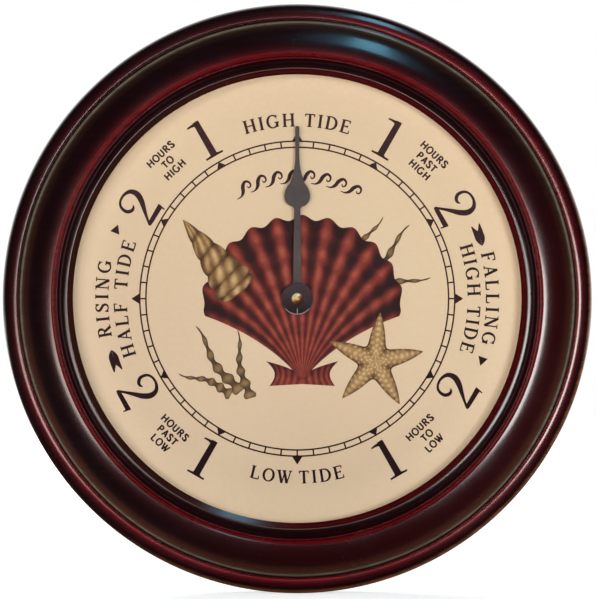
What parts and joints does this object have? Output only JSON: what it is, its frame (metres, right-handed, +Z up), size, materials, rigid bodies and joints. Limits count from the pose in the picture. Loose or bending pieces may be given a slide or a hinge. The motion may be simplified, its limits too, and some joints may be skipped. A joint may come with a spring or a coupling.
{
  "type": "tide clock",
  "caption": "Round wall tide clock: turned dark wooden frame, printed dial under glass, spade hand, and a battery movement with its gear train, knob and cell.",
  "frame": {"origin": "centre of the frame's back face, on the wall", "axes": "+Z up the wall, -Y out of the dial towards the viewer, +X to the viewer's right; +Y points into the wall"},
  "size_m": [0.3556, 0.0404, 0.3556],
  "materials": {
    "mahogany_wood": "gloss lacquer over dark red stain",
    "crystal_glass": "clear polished",
    "spacer_card": "matt",
    "dial_print": "satin print",
    "board_fibre": "raw fibreboard",
    "screw_steel": "zinc plated",
    "plated_steel": "zinc plated",
    "case_plastic": "fine spark-eroded grain",
    "post_brass": "turned",
    "seal_rubber": "matt",
    "bridge_plastic": "moulded",
    "soft_iron": "stamped",
    "bobbin_plastic": "moulded",
    "winding_copper": "enamelled wire",
    "board_laminate": "lacquered laminate",
    "chip_resin": "cast resin",
    "crystal_can": "drawn can",
    "contact_steel": "nickel plated spring strip",
    "cell_wrap": "printed sleeve over steel can",
    "knob_plastic": "fluted",
    "gear_plastic": "moulded acetal",
    "arbor_brass": "turned",
    "magnet_ferrite": "sintered",
    "hand_slate": "slate-grey enamel",
    "button_brass": "polished"
  },
  "bodies": {
    "clock": {"frame_ring": "mahogany_wood", "glass_crystal": "crystal_glass", "spacer_ring": "spacer_card", "dial_plate": "dial_print", "backing_board": "board_fibre", "board_screws": "screw_steel", "hanger_plate": "plated_steel", "hanger_screws": "screw_steel", "movement_front_case": "case_plastic", "movement_back_case": "case_plastic", "centre_post": "post_brass", "rubber_washer": "seal_rubber", "brass_washer": "post_brass", "mounting_nut": "post_brass", "train_bridge": "bridge_plastic", "bridge_screws": "screw_steel", "stator_plate": "soft_iron", "coil_core": "soft_iron", "coil_bobbin": "bobbin_plastic", "coil_winding": "winding_copper", "core_screws": "screw_steel", "circuit_board": "board_laminate", "chip_blob": "chip_resin", "quartz_crystal": "crystal_can", "battery_contact_plus": "contact_steel", "battery_contact_minus": "contact_steel"},
    "hand": {"tide_hand": "hand_slate", "hand_collet": "arbor_brass", "centre_button": "button_brass", "tide_wheel": "arbor_brass"},
    "motion_work": {"motion_wheel": "gear_plastic"},
    "centre_arbor": {"centre_arbor": "arbor_brass", "clutch_spring": "contact_steel"},
    "setting_knob": {"setting_knob": "knob_plastic"},
    "centre_drive": {"centre_drive_wheel": "gear_plastic"},
    "third_arbor": {"third_wheel": "gear_plastic"},
    "fourth_arbor": {"fourth_wheel": "gear_plastic"},
    "fifth_arbor": {"fifth_wheel": "gear_plastic"},
    "rotor": {"rotor": "magnet_ferrite"},
    "cell": {"battery_cell": "cell_wrap"}
  },
  "joints": [
    {"name": "hand_spin", "type": "hinge", "parent": "clock", "child": "hand", "pos_m": [0, 0, 0], "axis": [0, 1, 0], "continuous": true},
    {"name": "motion_spin", "type": "hinge", "parent": "clock", "child": "motion_work", "pos_m": [-0.00844, 0, 0.00487], "axis": [0, 1, 0], "continuous": true},
    {"name": "centre_arbor_spin", "type": "hinge", "parent": "clock", "child": "centre_arbor", "pos_m": [0, 0, 0], "axis": [0, 1, 0], "continuous": true},
    {"name": "knob_spin", "type": "hinge", "parent": "clock", "child": "setting_knob", "pos_m": [-0.01743, 0, 0.01006], "axis": [0, 1, 0], "continuous": true},
    {"name": "fifth_spin", "type": "hinge", "parent": "clock", "child": "fifth_arbor", "pos_m": [0.00013, 0, 0.01675], "axis": [0, 1, 0], "continuous": true},
    {"name": "rotor_spin", "type": "hinge", "parent": "clock", "child": "rotor", "pos_m": [-0.00687, 0, 0.01675], "axis": [0, 1, 0], "continuous": true},
    {"name": "fourth_spin", "type": "hinge", "parent": "clock", "child": "fourth_arbor", "pos_m": [0.00689, 0, 0.01429], "axis": [0, 1, 0], "continuous": true},
    {"name": "third_spin", "type": "hinge", "parent": "clock", "child": "third_arbor", "pos_m": [0.00689, 0, 0.00579], "axis": [0, 1, 0], "continuous": true},
    {"name": "centre_drive_spin", "type": "hinge", "parent": "clock", "child": "centre_drive", "pos_m": [0, 0, 0], "axis": [0, 1, 0], "continuous": true},
    {"name": "cell_slide", "type": "slide", "parent": "clock", "child": "cell", "axis": [0, 1, 0], "range_m": [0, 0.03]}
  ],
  "couplings": [
    {"joint": "motion_spin", "follows": "hand_spin", "ratio": -4},
    {"joint": "centre_arbor_spin", "follows": "hand_spin", "ratio": 12.421},
    {"joint": "knob_spin", "follows": "hand_spin", "ratio": 9.8333},
    {"joint": "rotor_spin", "follows": "fifth_spin", "ratio": -6},
    {"joint": "fourth_spin", "follows": "fifth_spin", "ratio": -0.2},
    {"joint": "third_spin", "follows": "fifth_spin", "ratio": 0.026667},
    {"joint": "centre_drive_spin", "follows": "fifth_spin", "ratio": -0.0033333}
  ]
}
